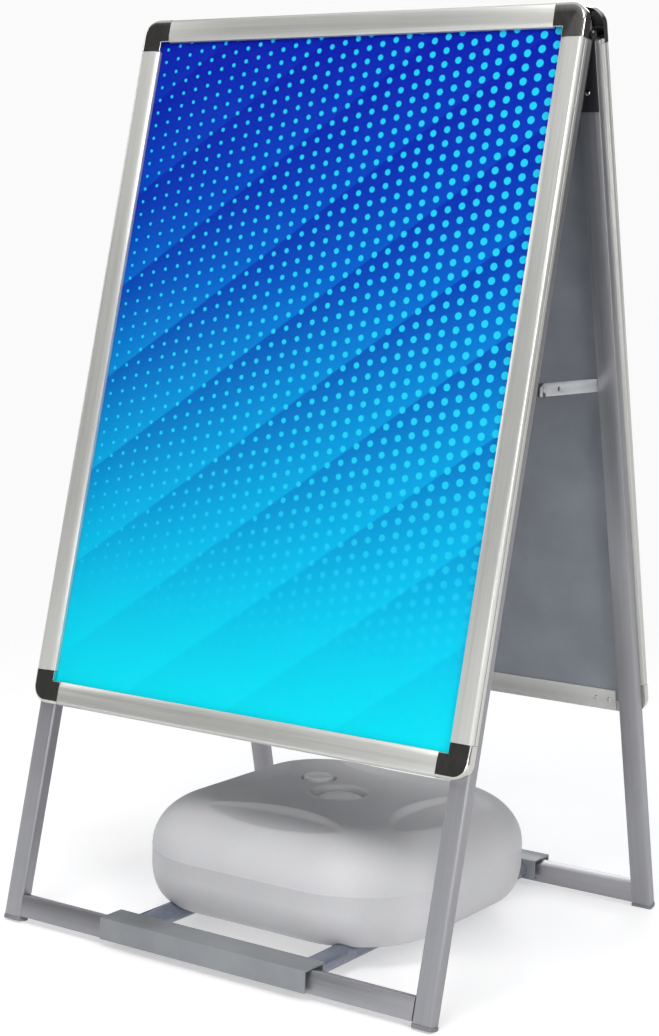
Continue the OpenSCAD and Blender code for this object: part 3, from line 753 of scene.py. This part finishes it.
def floor():
    """Round pale floor with a little light of its own, which fades into the backdrop away from the object."""
    rings = [[(r * math.cos(a), r * math.sin(a), 0) for a in (2 * math.pi * k / 64 for k in range(64))]
             for r in (0.01, 1, 3, 8, 40)]
    work = loft(rings, cap_start=True)
    mesh = to_mesh(work, "floor")
    shader = Shader("floor", Roughness=0.75, Specular_IOR_Level=0.2)
    grain = shader.noise(3, 4)
    colour = shader.ramp(grain, [(0.3, srgb("d9d9da")), (0.7, srgb("dedede"))])
    shader.feed(shader.bsdf.inputs["Base Color"], colour)
    shader.feed(shader.bsdf.inputs["Emission Color"], colour)
    place = shader.node("ShaderNodeSeparateXYZ", {"Vector": shader.coords})
    squares = [shader.math("MULTIPLY", place.outputs[axis], place.outputs[axis]) for axis in "XY"]
    away = shader.math("SQRT", shader.math("ADD", *squares))
    seen = shader.node("ShaderNodeLightPath").outputs["Is Camera Ray"]
    blend = shader.math("MULTIPLY", shader.between(away, *FLOOR_FADE), seen)
    glimmer = shader.math("ADD", shader.math("MULTIPLY", seen, CAMERA_GLOW), FLOOR_GLOW)
    shader.feed(shader.bsdf.inputs["Emission Strength"], glimmer)
    glow = shader.node("ShaderNodeEmission", {"Color": (BACKDROP, BACKDROP, BACKDROP, 1), "Strength": 1.0})
    mix = shader.node("ShaderNodeMixShader", {"Fac": blend})
    shader.feed(mix.inputs[1], shader.bsdf.outputs["BSDF"])
    shader.feed(mix.inputs[2], glow.outputs["Emission"])
    shader.feed(shader.tree.nodes["Material Output"].inputs["Surface"], mix.outputs["Shader"])
    stage = bpy.data.objects.new("floor", mesh)
    mesh.materials.append(shader.material)
    bpy.context.scene.collection.objects.link(stage)


def softbox(name, place, target, size, power):
    """Rectangular light at a place, turned to a target."""
    data = bpy.data.lights.new(name, "AREA")
    data.shape = "RECTANGLE"
    data.size, data.size_y = size
    data.energy = power
    light = bpy.data.objects.new(name, data)
    light.location = place
    direction = Vector(target) - Vector(place)
    light.rotation_euler = direction.to_track_quat("-Z", "Y").to_euler()
    bpy.context.scene.collection.objects.link(light)


def surroundings():
    """Pale backdrop. Light and reflections come from a bright ceiling over a dim band round the horizon."""
    world = bpy.data.worlds.new("studio")
    world.use_nodes = True
    tree = world.node_tree
    coords = tree.nodes.new("ShaderNodeTexCoord")
    split = tree.nodes.new("ShaderNodeSeparateXYZ")
    tree.links.new(coords.outputs["Generated"], split.inputs[0])
    ramp = tree.nodes.new("ShaderNodeValToRGB")
    tree.links.new(split.outputs["Z"], ramp.inputs["Fac"])
    elements = ramp.color_ramp.elements
    for _ in range(2):
        elements.new(0.5)
    stops = [(0.0, 0.3), (0.06, HORIZON), (0.46, HORIZON), (0.72, CEILING)]
    for element, (height, light) in zip(elements, stops):
        element.position = height
        element.color = (light, light, light * 1.01, 1)
    path = tree.nodes.new("ShaderNodeLightPath")
    mix = tree.nodes.new("ShaderNodeMix")
    mix.data_type = "RGBA"
    tree.links.new(path.outputs["Is Camera Ray"], mix.inputs[0])
    tree.links.new(ramp.outputs["Color"], mix.inputs[6])
    mix.inputs[7].default_value = (BACKDROP, BACKDROP, BACKDROP, 1)
    tree.links.new(mix.outputs[2], tree.nodes["Background"].inputs["Color"])
    bpy.context.scene.world = world


floor()
surroundings()
softbox("key", (3.4, -2.0, 1.9), (0, 0, 0.6), (1.5, 2.4), 58)
softbox("front", (0.7, -2.6, 3.6), (0, 0, 0.5), (1.6, 1.2), 52)
softbox("low", (0.9, -3.0, 0.55), (0, 0, 0.15), (2.2, 0.5), 12)
softbox("left", (-3.6, -0.6, 1.8), (0, 0, 0.6), (0.9, 2.0), 22)
softbox("back", (-1.2, 3.6, 2.8), (0, 0, 0.6), (2.2, 1.6), 40)
bpy.context.scene.view_settings.view_transform = "Standard"
